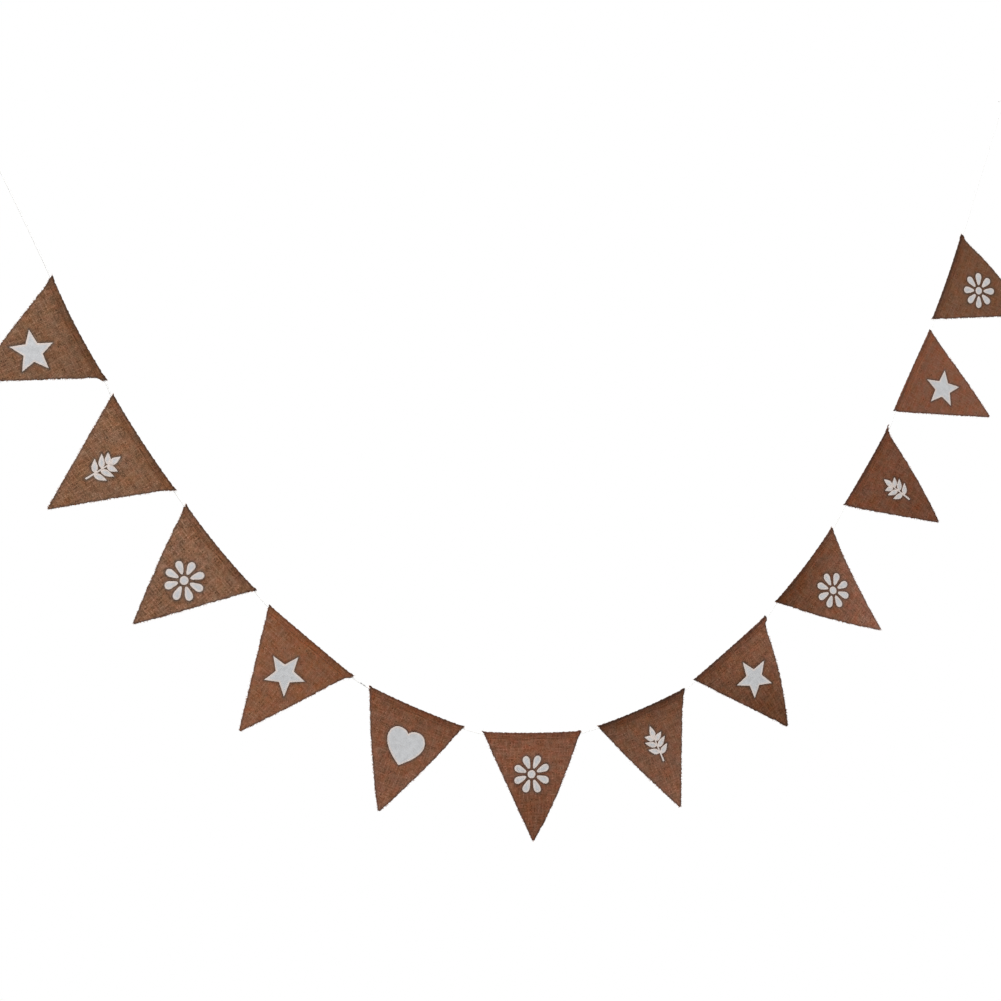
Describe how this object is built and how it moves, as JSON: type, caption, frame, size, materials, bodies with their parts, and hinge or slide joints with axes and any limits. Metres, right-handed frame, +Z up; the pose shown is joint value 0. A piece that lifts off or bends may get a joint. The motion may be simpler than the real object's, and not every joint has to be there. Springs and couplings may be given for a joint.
{
  "type": "fabric bunting",
  "caption": "Garland of triangular hessian pennants, each hemmed round one cotton cord that hangs in a long curve and ends in a knotted loop on either side.",
  "frame": {"origin": "the point inside the left end loop that a hook or nail carries", "axes": "+X along the bunting from its left end to its right end, +Y from the printed front to the back, +Z up"},
  "size_m": [1.9394, 0.0163, 1.4276],
  "materials": {
    "hessian": "matte",
    "cotton_cord": "matte",
    "white_print": "matte"
  },
  "bodies": {
    "root": {"pennant_01": "hessian", "pennant_02": "hessian", "pennant_03": "hessian", "pennant_04": "hessian", "pennant_05": "hessian", "pennant_06": "hessian", "pennant_07": "hessian", "pennant_08": "hessian", "pennant_09": "hessian", "pennant_10": "hessian", "pennant_11": "hessian", "pennant_12": "hessian", "cord": "cotton_cord", "end_loop_left": "cotton_cord", "end_loop_right": "cotton_cord"}
  },
  "joints": []
}
